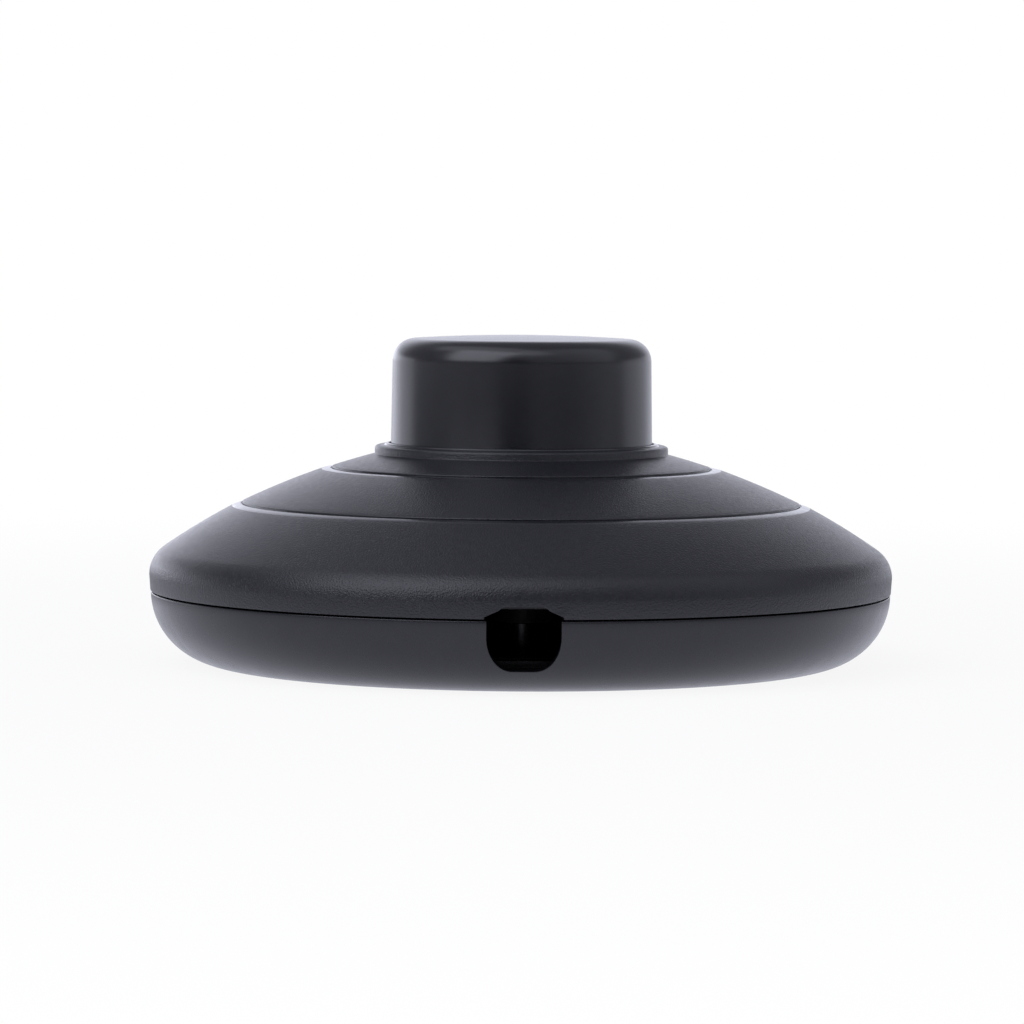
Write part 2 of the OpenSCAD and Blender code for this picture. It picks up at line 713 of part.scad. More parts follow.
module housing_screws() {
    color(steel_color) at_housing_screws() translate([0, 0, seat_z]) rotate([180, 0, 0])
        screw(split_h + thread_l - seat_z, head_r = housing_head_r);
}

module mechanism_screws() {
    color(steel_color) at_ears() translate([0, 0, cap_z + cap_ear_t]) screw(cap_z + cap_ear_t - floor_t - 0.3);
}

base_cover();
top_cover();
push_button();
plunger();
return_spring();
mechanism_cap();
mechanism_body();
ratchet_rotor();
contact_bridge();
contact_spring();
live_in_terminal();
live_out_terminal();
contact_tips();
neutral_block();
terminal_screws();
neutral_screws();
wire_washers();
front_cord_clamp();
rear_cord_clamp();
clamp_screws();
housing_screws();
mechanism_screws();
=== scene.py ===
import math

import bmesh
import bpy
from mathutils import Matrix, Vector


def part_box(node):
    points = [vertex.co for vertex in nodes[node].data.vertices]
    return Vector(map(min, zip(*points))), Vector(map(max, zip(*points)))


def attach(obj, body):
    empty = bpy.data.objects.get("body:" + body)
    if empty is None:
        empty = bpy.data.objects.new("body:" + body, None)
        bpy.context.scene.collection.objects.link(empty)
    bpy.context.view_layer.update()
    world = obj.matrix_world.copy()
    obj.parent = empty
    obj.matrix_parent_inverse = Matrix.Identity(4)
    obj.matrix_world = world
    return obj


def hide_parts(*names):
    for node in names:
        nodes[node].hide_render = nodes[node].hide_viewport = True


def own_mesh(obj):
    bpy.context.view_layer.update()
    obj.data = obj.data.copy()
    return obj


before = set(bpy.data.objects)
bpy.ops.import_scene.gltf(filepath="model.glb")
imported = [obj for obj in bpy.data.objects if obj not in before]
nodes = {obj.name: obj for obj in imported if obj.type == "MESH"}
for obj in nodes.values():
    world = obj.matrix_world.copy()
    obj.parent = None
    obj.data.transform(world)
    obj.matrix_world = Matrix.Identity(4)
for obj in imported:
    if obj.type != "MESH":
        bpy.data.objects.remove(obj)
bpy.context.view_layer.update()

# Lamp foot switch: finely turned shells, a wire spring, threaded screws, finishes, studio and camera.
# Lengths are millimetres in the source's own frame, and MM turns them into metres.
MM = 0.001

# Driving sizes of the shells, the same as in the part's source
split_h = 6.85
split_gap = 0.16
wall = 2.0
floor_t = 2.0
edge_w = 6.95
base_inset = 0.15
rim_r = 3.0
rim_lift = 1.55
rim_end_a = 55
cover_edge_in = 0.1
panel_r = 19.0
panel_depth = 0.4
lower_ring = (27.25, 14.8)
upper_ring = (18.85, 18.3)
band_w = 0.86
lower_band_slope = 18.0
upper_band_slope = 8.0
crease = 0.16
crease_face = 0.14
tier_bulge = 0.11
collar_h = 20.6
collar_wall_h = 0.85
collar_w = 1.3
collar_round = (0.5, 0.3)
bead_h = 0.2
bead_shape = ((0.4, 0.0), (0.3, 0.8), (0.15, 1.0), (0.0, 1.0))
shoulder_t = 2.0
lip_depth = 1.5
lip_t = 1.2
lip_gap = 0.15
guide_gap = 0.15
guide_wall = 1.45
guide_reach = 4.0
opening_w = 6.6
opening_lift = 0.2
opening_corner = 2.3
opening_corner_h = 3.1
notch_h = 1.2
notch_flat_w = 2.9
notch_corner = 0.5
notch_stretch = 1.6
notch_lean = 20
notch_flare = 0.2

# Driving sizes of the button
button_r = 12.35
button_gap = 0.18
button_draft = 0.15
button_edge_r = 2.1
button_dome = 0.32
button_wall = 2.05
button_top_t = 2.35
flange_w = 1.15
flange_gap = 0.1
key_w = 3.0
key_drop = 0.5
key_gap = 0.2
boss_r = 3.6
stem_r = 2.02
stem_roof = 1.9
neck_h = 2.6
spring_rib_t = 0.9
spring_rib_h = 1.5
spring_rib_gap = 1.1
cavity_ease = 0.6
web_count = 8
web_t = 0.8
web_h = 1.4
web_in = 0.5
mech_gap = 0.7

# Driving sizes of the posts, screws and spring
shank_r = 1.2
thread_depth = 0.26
thread_pitch = 0.95
thread_hole = 5.6
hold_gap = 0.05
pass_gap = 0.3
head_h = 1.5
small_head_r = 2.1
housing_head_r = 2.4
terminal_head_r = 2.6
terminal_a = 30.0
terminal_reach = 5.6
post_r = 3.7
post_wall = 1.0
post_gap = 0.2
cover_post_in = 0.7
seat_z = 2.6
ear_r = 2.8
ear_z = 5.0
clamp_post_r = 2.2
clamp_post_h = 5.3
clamp_gap = 0.3
clamp_inset = 0.8
clamp_rib_y = 1.5
clamp_rib_t = 1.0
clamp_rib_h = 0.6
cradle_x = 3.1
cradle_t = 0.9
cradle_l = 10.0
cradle_top = 4.6
neutral_reach = 5.4
neutral_y = 5.0
neutral_pitch = 5.0
wire_r = 0.45
coil_r = 5.6
coil_turns = 6
close_pitch = 2.12

# An added form reaches this far into what carries it, and a cut reaches this far past what it cuts
SUNK = 0.4
PAST = 1.0

# Sizes read from the frame
housing_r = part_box("top_cover")[1].x / MM
button_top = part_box("push_button")[1].z / MM
flange_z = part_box("push_button")[0].z / MM
key_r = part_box("push_button")[1].x / MM
spring_low, spring_high = (corner.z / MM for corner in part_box("return_spring"))

# Derived sizes
cover_z = split_h + split_gap / 2
base_r = housing_r - base_inset
floor_r = base_r - edge_w
base_in_w = edge_w - wall
lip_z = split_h - lip_depth
lip_r = floor_r + base_in_w * math.sqrt(1 - (lip_depth / (split_h - floor_t)) ** 2) - lip_gap
lip_in_r = lip_r - lip_t
bore_r = button_r + button_gap
collar_r = bore_r + collar_w
shoulder_z = collar_h - shoulder_t
flange_top = shoulder_z - flange_gap
flange_r = button_r + flange_w
guide_r = flange_r + guide_gap
guide_out_r = guide_r + guide_wall
guide_z = flange_z - guide_reach
key_top = flange_top - key_drop
cavity_r = button_r - button_wall
ceiling_z = button_top - button_top_t
mech_r = cavity_r - mech_gap
spring_rib_r = coil_r + wire_r + spring_rib_gap
stem_top = ceiling_z - stem_roof
neck_top = spring_low + neck_h
opening_z = floor_t + opening_lift
screw_circle_r = floor_r - post_r - post_gap
ear_y = mech_r + ear_r
clamp_x = opening_w / 2 + clamp_gap + clamp_post_r
clamp_y = floor_r - clamp_post_r - clamp_inset
clamp_z = opening_z + clamp_post_h
neutral_x = -mech_r - neutral_reach
terminal_x = mech_r + terminal_reach
pilot_r = shank_r + hold_gap
pass_r = shank_r + pass_gap

# Facets round an axis, and in a quarter of a small fillet
TURN = 256
FILLET = 5

# Material slots of the cover. The other shells have slot 0 only.
GRAINED = 0
SMOOTH = 1


def arc(centre, rx, ry, start, end, steps=FILLET):
    """Points of a circular or elliptical arc, angles in degrees."""
    angles = [math.radians(start + (end - start) * i / steps) for i in range(steps + 1)]
    return [(centre[0] + rx * math.cos(a), centre[1] + ry * math.sin(a)) for a in angles]


def bulged(p, q, sag, steps=10):
    """Points after p up to q on a shallow curve that rises by sag over the straight line."""
    dx, dy = q[0] - p[0], q[1] - p[1]
    length = math.hypot(dx, dy)
    points = []
    for i in range(1, steps + 1):
        t = i / steps
        rise = sag * 4 * t * (1 - t) / length
        points.append((p[0] + dx * t + dy * rise, p[1] + dy * t - dx * rise))
    return points


def ring_step(p, slope):
    """The band and crease of a ring step whose outer edge is at p."""
    a = math.radians(slope)
    b = (p[0] - band_w * math.cos(a), p[1] + band_w * math.sin(a))
    return [p, b, (b[0], b[1] - crease), (b[0] - crease, b[1] - crease), (b[0] - crease, b[1] + crease_face)]


def slope_of(p, q):
    """Angle of the line that rises from p to q towards the axis."""
    return math.atan2(q[1] - p[1], p[0] - q[0])


def under(p, a):
    """The point one wall under p, on a surface that slopes by a."""
    return (p[0] - wall * math.sin(a), p[1] - wall * math.cos(a))


def eased(profile, radius=0.06, sharp=25.0, share=0.4, steps=3):
    """A closed profile of (point, tag) whose corners that turn by sharp degrees or more are rounded."""
    count = len(profile)
    points = []
    for i, (p, tag) in enumerate(profile):
        before, after = Vector(profile[i - 1][0]), Vector(profile[(i + 1) % count][0])
        here = Vector(p)
        u, v = before - here, after - here
        turn = math.degrees(math.pi - u.angle(v))
        if turn < sharp or here.x < radius:
            points.append((here, tag))
            continue
        reach = min(radius, share * u.length, share * v.length)
        a, b = here + u.normalized() * reach, here + v.normalized() * reach
        for k in range(steps + 1):
            t = k / steps
            points.append((a * (1 - t) ** 2 + here * 2 * t * (1 - t) + b * t ** 2, tag))
    return points


def tagged(points, tag=0):
    """Points with the material slot of the faces that start there."""
    return [(p, tag) for p in points]


def turned(name, profile, materials, steps=TURN):
    """A closed profile of ((r, z), tag) turned round Z. A face takes its first point's tag as its slot."""
    bm = bmesh.new()
    rings = []
    for (r, z), _ in profile:
        if r < 1e-4:
            rings.append([bm.verts.new((0, 0, z * MM))])
            continue
        angles = [2 * math.pi * j / steps for j in range(steps)]
        rings.append([bm.verts.new((r * MM * math.cos(a), r * MM * math.sin(a), z * MM)) for a in angles])
    for i, ring in enumerate(rings):
        above = rings[(i + 1) % len(rings)]
        if len(ring) == 1 and len(above) == 1:
            continue
        for j in range(steps):
            k = (j + 1) % steps
            corners = [ring[j % len(ring)], ring[k % len(ring)], above[k % len(above)], above[j % len(above)]]
            face = bm.faces.new(list(dict.fromkeys(corners)))
            face.material_index = profile[i][1]
            face.smooth = True
    return finished(name, bm, materials)


def finished(name, bm, materials):
    """An object of a bmesh, with its normals outwards."""
    bmesh.ops.recalc_face_normals(bm, faces=bm.faces)
    mesh = bpy.data.meshes.new(name)
    bm.to_mesh(mesh)
    bm.free()
    piece = bpy.data.objects.new(name, mesh)
    bpy.context.scene.collection.objects.link(piece)
    for material in materials:
        mesh.materials.append(material)
    return piece


def add_post(bm, x, y, z0, z1, r, steps=48, slot=0):
    """An upright cylinder in a bmesh. z1 may be a function of the distance from Z, for a slanted top."""
    height = z1 if callable(z1) else lambda distance: z1
    spots = [(x + r * math.cos(2 * math.pi * j / steps), y + r * math.sin(2 * math.pi * j / steps))
             for j in range(steps)]
    low = [bm.verts.new((a * MM, b * MM, z0 * MM)) for a, b in spots]
    high = [bm.verts.new((a * MM, b * MM, height(math.hypot(a, b)) * MM)) for a, b in spots]
    middle = bm.verts.new((x * MM, y * MM, height(math.hypot(x, y)) * MM))
    faces = [bm.faces.new(low)]
    for j in range(steps):
        k = (j + 1) % steps
        faces.append(bm.faces.new([low[j], low[k], high[k], high[j]]))
        faces.append(bm.faces.new([high[j], high[k], middle]))
    for face in faces:
        face.material_index = slot


def add_box(bm, low, high, turn=0.0):
    """A box between two corners, turned round Z by degrees."""
    made = bmesh.ops.create_cube(bm, size=1.0)["verts"]
    size = [(high[i] - low[i]) * MM for i in range(3)]
    centre = [(high[i] + low[i]) / 2 * MM for i in range(3)]
    turned_by = Matrix.Rotation(math.radians(turn), 4, "Z")
    matrix = turned_by @ Matrix.Translation(centre) @ Matrix.Diagonal((*size, 1))
    bmesh.ops.transform(bm, matrix=matrix, verts=made)


def add_prism(bm, outline, y0, y1):
    """An outline of (x, z) drawn out along Y."""
    near = [bm.verts.new((x * MM, y0 * MM, z * MM)) for x, z in outline]
    far = [bm.verts.new((x * MM, y1 * MM, z * MM)) for x, z in outline]
    bm.faces.new(near)
    bm.faces.new(far[::-1])
    count = len(outline)
    for i in range(count):
        k = (i + 1) % count
        bm.faces.new([near[i], near[k], far[k], far[i]])


def combine(piece, bm, operation):
    """Cuts a bmesh out of a piece or joins it on, and shades the result by its angles."""
    tool = finished("tool", bm, piece.data.materials)
    step = piece.modifiers.new("step", "BOOLEAN")
    step.operation = operation
    step.solver = "EXACT"
    step.object = tool
    graph = bpy.context.evaluated_depsgraph_get()
    mesh = bpy.data.meshes.new_from_object(piece.evaluated_get(graph))
    piece.modifiers.clear()
    piece.data = mesh
    bpy.data.objects.remove(tool)
    shade(piece)


def shade(piece, angle=32.0):
    """Smooth shading, with edges sharper than that angle kept sharp."""
    piece.data.shade_smooth()
    piece.data.set_sharp_from_angle(angle=math.radians(angle))


# Profiles of the three shells
rim_c = (housing_r - rim_r, split_h + rim_lift)
rim = arc(rim_c, rim_r, rim_r, 0, rim_end_a, 20)
tier_3 = rim[-1]
lower_step = ring_step(lower_ring, lower_band_slope)
upper_step = ring_step(upper_ring, upper_band_slope)
tier_2 = lower_step[4]
tier_1 = upper_step[4]
foot = (collar_r, collar_h - collar_wall_h)
slope_3 = slope_of(tier_3, lower_step[0])
slope_2 = slope_of(tier_2, upper_step[0])
slope_1 = slope_of(tier_1, foot)
inner_3 = under(tier_3, slope_3)
inner_2 = under(lower_step[0], slope_3)
inner_1 = under(upper_step[0], slope_2)
collar_edge = arc((collar_r - collar_round[0], collar_h - collar_round[1]), *collar_round, 0, 90, 6)
bead = [(bore_r + out, collar_h + bead_h * up) for out, up in bead_shape]
guide = [(bore_r, shoulder_z), (guide_r, shoulder_z), (guide_r, guide_z), (guide_out_r, guide_z),
         (guide_out_r, inner_1[1] + (inner_1[0] - guide_out_r) * math.tan(slope_1))]
lip_root = (lip_in_r, inner_3[1] + (inner_3[0] - lip_in_r) * math.tan(slope_3))

cover_profile = (
    tagged([(lip_in_r, lip_z), (lip_r, lip_z), (lip_r, cover_z)], SMOOTH)
    + tagged([(housing_r - cover_edge_in, cover_z)] + rim, GRAINED)
    + tagged(bulged(tier_3, lower_step[0], tier_bulge, 14)[:-1], GRAINED)
    + tagged(lower_step[:4], SMOOTH)
    + tagged([tier_2] + bulged(tier_2, upper_step[0], tier_bulge, 12)[:-1], GRAINED)
    + tagged(upper_step[:4], SMOOTH)
    + tagged([tier_1] + bulged(tier_1, foot, tier_bulge / 4, 6), GRAINED)
    + tagged(collar_edge, GRAINED)
    + tagged(bead + guide + [inner_1, inner_2, lip_root], SMOOTH))

rise = math.degrees(math.asin(split_gap / 2 / split_h))
rise_in = math.degrees(math.asin(split_gap / 2 / (split_h - floor_t)))
base_profile = tagged(
    [(0, panel_depth), (panel_r, panel_depth), (panel_r, 0)]
    + arc((floor_r, split_h), edge_w, split_h, -90, -rise, 40)
    + arc((floor_r, split_h), base_in_w, split_h - floor_t, -rise_in, -90, 24)
    + [(0, floor_t)])

edge_c = (button_r - button_draft - button_edge_r, button_top - button_dome - button_edge_r)
spring_rib_out_r = spring_rib_r + spring_rib_t
button_profile = tagged(
    [(cavity_r, flange_z), (flange_r, flange_z), (flange_r, flange_top), (button_r, flange_top)]
    + arc(edge_c, button_edge_r, button_edge_r, 0, 90, 16)
    + bulged((edge_c[0], button_top - button_dome), (0, button_top), button_dome / 4, 12)
    + [(0, stem_top), (stem_r, stem_top), (stem_r, neck_top), (boss_r, neck_top), (boss_r, ceiling_z),
       (spring_rib_r, ceiling_z), (spring_rib_r, ceiling_z - spring_rib_h),
       (spring_rib_out_r, ceiling_z - spring_rib_h), (spring_rib_out_r, ceiling_z),
       (cavity_r - cavity_ease, ceiling_z), (cavity_r, ceiling_z - cavity_ease)])


# Finishes, with the scale of the faint unevenness that every moulded surface has
FINE_SCALE = 9000.0


def noise(tree, scale, detail=2.0, roughness=0.5):
    """A noise of that scale in the part's own coordinates."""
    place = tree.nodes.new("ShaderNodeTexCoord")
    node = tree.nodes.new("ShaderNodeTexNoise")
    node.inputs["Scale"].default_value = scale
    node.inputs["Detail"].default_value = detail
    node.inputs["Roughness"].default_value = roughness
    tree.links.new(place.outputs["Object"], node.inputs["Vector"])
    return node.outputs["Fac"]


def ramp(tree, factor, low, high, start=0.35, end=0.65):
    """A colour between low and high, spread over the middle of the factor."""
    node = tree.nodes.new("ShaderNodeValToRGB")
    node.color_ramp.elements[0].position = start
    node.color_ramp.elements[1].position = end
    node.color_ramp.elements[0].color = (*low, 1)
    node.color_ramp.elements[1].color = (*high, 1)
    tree.links.new(factor, node.inputs["Fac"])
    return node.outputs["Color"]


def spread(tree, factor, low, high):
    """A number between low and high."""
    node = tree.nodes.new("ShaderNodeMapRange")
    node.inputs["From Min"].default_value = 0.3
    node.inputs["From Max"].default_value = 0.7
    node.inputs["To Min"].default_value = low
    node.inputs["To Max"].default_value = high
    tree.links.new(factor, node.inputs["Value"])
    return node.outputs["Result"]


def bump(tree, height, depth, below=None):
    """A bump of that depth in metres over another normal."""
    node = tree.nodes.new("ShaderNodeBump")
    node.inputs["Strength"].default_value = 1.0
    node.inputs["Distance"].default_value = depth
    tree.links.new(height, node.inputs["Height"])
    if below:
        tree.links.new(below, node.inputs["Normal"])
    return node.outputs["Normal"]


def material(name, metallic=0.0, ior=1.5):
    """A new material, its node tree and its shader."""
    finish = bpy.data.materials.new(name)
    finish.use_nodes = True
    shader = finish.node_tree.nodes["Principled BSDF"]
    shader.inputs["Metallic"].default_value = metallic
    shader.inputs["IOR"].default_value = ior
    return finish, finish.node_tree, shader


def plastic(name, dark, light, rough, mottle, fine, grain=0.0, grain_scale=0.0, ease=0.0, ior=1.5):
    """Moulded plastic: mottled colour and gloss, fine unevenness and a coarser grain of those depths in
    metres, and edges eased by that radius."""
    finish, tree, shader = material(name, ior=ior)
    spots = noise(tree, mottle, 3.0)
    tree.links.new(ramp(tree, spots, dark, light), shader.inputs["Base Color"])
    tree.links.new(spread(tree, spots, rough[0], rough[1]), shader.inputs["Roughness"])
    normal = None
    if ease:
        rounded = tree.nodes.new("ShaderNodeBevel")
        rounded.samples = 6
        rounded.inputs["Radius"].default_value = ease
        normal = rounded.outputs["Normal"]
    if grain:
        normal = bump(tree, noise(tree, grain_scale, 1.0), grain, normal)
    normal = bump(tree, noise(tree, FINE_SCALE, 2.0), fine, normal)
    tree.links.new(normal, shader.inputs["Normal"])
    return finish


def metal(name, dark, light, rough, scale, stretch=(1, 1, 1), depth=0.0):
    """Metal with mottled colour and gloss, drawn out by stretch, and streaks of that depth in metres."""
    finish, tree, shader = material(name, metallic=1.0)
    place = tree.nodes.new("ShaderNodeTexCoord")
    shape = tree.nodes.new("ShaderNodeMapping")
    shape.inputs["Scale"].default_value = stretch
    streaks = tree.nodes.new("ShaderNodeTexNoise")
    streaks.inputs["Scale"].default_value = scale
    streaks.inputs["Detail"].default_value = 4.0
    tree.links.new(place.outputs["Object"], shape.inputs["Vector"])
    tree.links.new(shape.outputs["Vector"], streaks.inputs["Vector"])
    tree.links.new(ramp(tree, streaks.outputs["Fac"], dark, light), shader.inputs["Base Color"])
    tree.links.new(spread(tree, streaks.outputs["Fac"], rough[0], rough[1]), shader.inputs["Roughness"])
    if depth:
        tree.links.new(bump(tree, streaks.outputs["Fac"], depth), shader.inputs["Normal"])
    return finish


COVER_TONE = (0.0074, 0.0078, 0.0108)
COVER_LIGHT = (0.0106, 0.0110, 0.0146)
cover_grain = plastic("cover_grain", COVER_TONE, COVER_LIGHT, rough=(0.29, 0.37), mottle=2200.0,
                      fine=0.000003, grain=0.00005, grain_scale=6500.0, ease=0.00012)
cover_band = plastic("cover_band", COVER_TONE, COVER_LIGHT, rough=(0.17, 0.22), mottle=900.0, fine=0.0000008)
base_satin = plastic("base_satin", (0.0055, 0.0058, 0.0085), (0.0080, 0.0084, 0.0112), rough=(0.24, 0.29),
                     mottle=600.0, fine=0.0000012, ease=0.00012)
button_satin = plastic("button_satin", (0.0056, 0.0059, 0.0079), (0.0066, 0.0069, 0.0091),
                       rough=(0.258, 0.272), mottle=1100.0, fine=0.0000014, ior=1.6)
# Painted shade: the plastic of the mechanism inside is set very dark, so that what shows through the cord
# openings stays as dark as the shade inside the housing
inner_plastic = plastic("inner_plastic", (0.050, 0.048, 0.050), (0.074, 0.072, 0.074), rough=(0.42, 0.54),
                        mottle=500.0, fine=0.000002, ease=0.0001)
ratchet_plastic = plastic("ratchet_plastic", (0.40, 0.035, 0.028), (0.52, 0.055, 0.042), rough=(0.30, 0.40),
                          mottle=500.0, fine=0.0000015, ease=0.00008)
brass = metal("stamped_brass", (0.62, 0.42, 0.14), (0.76, 0.55, 0.22), rough=(0.24, 0.38), scale=900.0,
              stretch=(1, 6, 1), depth=0.0000015)
silver = metal("rolled_silver", (0.80, 0.80, 0.78), (0.90, 0.90, 0.88), rough=(0.16, 0.26), scale=1200.0)
spring_wire = metal("spring_wire", (0.42, 0.43, 0.45), (0.62, 0.63, 0.65), rough=(0.22, 0.34), scale=900.0,
                    stretch=(1, 1, 8))
zinc = metal("zinc_plate", (0.52, 0.53, 0.55), (0.70, 0.70, 0.71), rough=(0.26, 0.40), scale=1100.0)


# Pieces
def opening_outline():
    """Outline of a cord opening below the parting line."""
    c = opening_w / 2 - opening_corner
    low = opening_z + opening_corner_h
    return (arc((-c, low), opening_corner, opening_corner_h, 180, 270, 16)
            + arc((c, low), opening_corner, opening_corner_h, 270, 360, 16)
            + [(opening_w / 2, split_h + PAST), (-opening_w / 2, split_h + PAST)])


def notch_outline():
    """Outline of the notch above the parting line."""
    half_w = opening_w / 2 + notch_flare
    half_flat = notch_flat_w / 2
    corner = (notch_corner * notch_stretch, notch_corner)
    top = split_h + notch_h - notch_corner
    return ([(-half_w, lip_z - PAST), (half_w, lip_z - PAST), (half_w, cover_z + notch_flare)]
            + arc((half_flat, top), *corner, notch_lean, 90, 8)
            + arc((-half_flat, top), *corner, 90, 180 - notch_lean, 8)
            + [(-half_w, cover_z + notch_flare)])


def polar(r, degrees):
    """The x and y of a point at that radius and angle."""
    return r * math.cos(math.radians(degrees)), r * math.sin(math.radians(degrees))


def screw_places():
    """Where the three screws that hold the shells together stand."""
    return [polar(screw_circle_r, a) for a in (0, 120, 240)]


def in_cover_wall(r):
    """A height in the middle of the cover's wall at radius r."""
    low, high = (inner_3, inner_2) if r > inner_2[0] else (inner_2, inner_1)
    t = (low[0] - r) / (low[0] - high[0])
    return low[1] + (high[1] - low[1]) * t + wall / 2


def make_top_cover():
    """The grained cover: turned shell, screw bosses, key slots and cord notches."""
    cover = turned("cover_shell", eased(cover_profile), [cover_grain, cover_band])
    bosses = bmesh.new()
    for x, y in screw_places():
        add_post(bosses, x, y, split_h, in_cover_wall, post_r - cover_post_in, slot=SMOOTH)
    combine(cover, bosses, "UNION")
    cuts = bmesh.new()
    for x, y in screw_places():
        add_post(cuts, x, y, split_h - SUNK, split_h + thread_hole, pilot_r, slot=SMOOTH)
    for turn in (0, 180):
        add_box(cuts, (bore_r, -key_w / 2 - key_gap, guide_z - PAST),
                (key_r + key_gap, key_w / 2 + key_gap, key_top + key_gap), turn)
    add_prism(cuts, notch_outline(), -housing_r - PAST, -lip_in_r + PAST)
    add_prism(cuts, notch_outline(), lip_in_r - PAST, housing_r + PAST)
    combine(cover, cuts, "DIFFERENCE")
    return cover


def make_base_cover():
    """The satin base: turned bowl, posts, ribs, screw recesses and cord openings."""
    base = turned("base_shell", eased(base_profile, 0.15), [base_satin])
    added = bmesh.new()
    for x, y in screw_places():
        add_post(added, x, y, floor_t - SUNK, split_h, post_r)
    for side in (-1, 1):
        add_post(added, 0, side * ear_y, floor_t - SUNK, ear_z, ear_r)
        for x in (-clamp_x, clamp_x):
            add_post(added, x, side * clamp_y, floor_t - SUNK, clamp_z, clamp_post_r)
        for y in (-clamp_rib_y, clamp_rib_y):
            add_box(added, (-opening_w / 2, side * clamp_y + y - clamp_rib_t / 2, floor_t - SUNK),
                    (opening_w / 2, side * clamp_y + y + clamp_rib_t / 2, floor_t + clamp_rib_h))
        edge = neutral_x + side * cradle_x
        add_box(added, (min(edge, edge + side * cradle_t), 0, floor_t - SUNK),
                (max(edge, edge + side * cradle_t), cradle_l, cradle_top))
    combine(base, added, "UNION")
    cuts = bmesh.new()
    for x, y in screw_places():
        add_post(cuts, x, y, -PAST, seat_z, post_r - post_wall)
        add_post(cuts, x, y, PAST / 2, split_h + PAST, pass_r)
    for side in (-1, 1):
        add_post(cuts, 0, side * ear_y, floor_t, ear_z + PAST, pilot_r)
        for x in (-clamp_x, clamp_x):
            add_post(cuts, x, side * clamp_y, floor_t + clamp_rib_h, clamp_z + PAST, pilot_r)
        add_prism(cuts, opening_outline(), side * (floor_r - PAST), side * (housing_r + PAST))
    combine(base, cuts, "DIFFERENCE")
    return base


def make_push_button():
    """The satin button: turned shell with its boss and spring rib, two keys and the webs round the rib."""
    button = turned("button_shell", eased(button_profile, 0.1), [button_satin])
    added = bmesh.new()
    for turn in (0, 180):
        add_box(added, (flange_r - SUNK, -key_w / 2, flange_z), (key_r, key_w / 2, key_top), turn)
    for web in range(web_count):
        add_box(added, (spring_rib_r + web_in, -web_t / 2, ceiling_z - web_h),
                (cavity_r + SUNK, web_t / 2, ceiling_z + SUNK), 360 / web_count * (web + 0.5))
    combine(button, added, "UNION")
    return button


def make_spring(steps=60, sides=16):
    """The return spring: round wire with a closed coil at each end, with that many steps in a turn."""
    bm = bmesh.new()
    height = spring_high - spring_low - 2 * wire_r
    close = close_pitch * wire_r
    climb = (height - 2 * close) / (coil_turns - 2)
    circle = [2 * math.pi * k / sides for k in range(sides)]
    rings = []
    for i in range(coil_turns * steps + 1):
        t = i / steps
        if t < 1:
            z = close * t
        elif t > coil_turns - 1:
            z = height - close * (coil_turns - t)
        else:
            z = close + climb * (t - 1)
        a = 2 * math.pi * t
        ring = []
        for b in circle:
            r = (coil_r + wire_r * math.cos(b)) * MM
            ring.append(bm.verts.new((r * math.cos(a), r * math.sin(a),
                                      (spring_low + wire_r + z + wire_r * math.sin(b)) * MM)))
        rings.append(ring)
    for ring, after in zip(rings, rings[1:]):
        for k in range(sides):
            m = (k + 1) % sides
            bm.faces.new([ring[k], ring[m], after[m], after[k]])
    bm.faces.new(rings[0][::-1])
    bm.faces.new(rings[-1])
    spring = finished("return_spring_wire", bm, [spring_wire])
    shade(spring, angle=40.0)
    return spring


# The turned-in lower edge of a pan head, and its outline above that in shares of its radius and height
HEAD_EDGE = 0.08
HEAD_SHAPE = ((1.0, 0.4), (0.97, 0.56), (0.9, 0.72), (0.78, 0.86), (0.62, 0.95), (0.35, 0.99))
# A rolled thread's depth at each quarter of its pitch, as a share of the whole depth
THREAD_SHAPE = (1.0, 0.3, 0.0, 0.3)
# Half a recess slit's length and half its width as shares of the head's radius, and its floor's height as a
# share of the head's
SLIT_HALF_L = 0.575
SLIT_HALF_W = 0.13
SLIT_FLOOR = 0.35
# The thread starts above the screw's end by this share of its radius, and ends under the head by this length.
# It fades in and out over this share of its pitch.
THREAD_START = 0.5
THREAD_END = 0.25
THREAD_FADE = 0.6


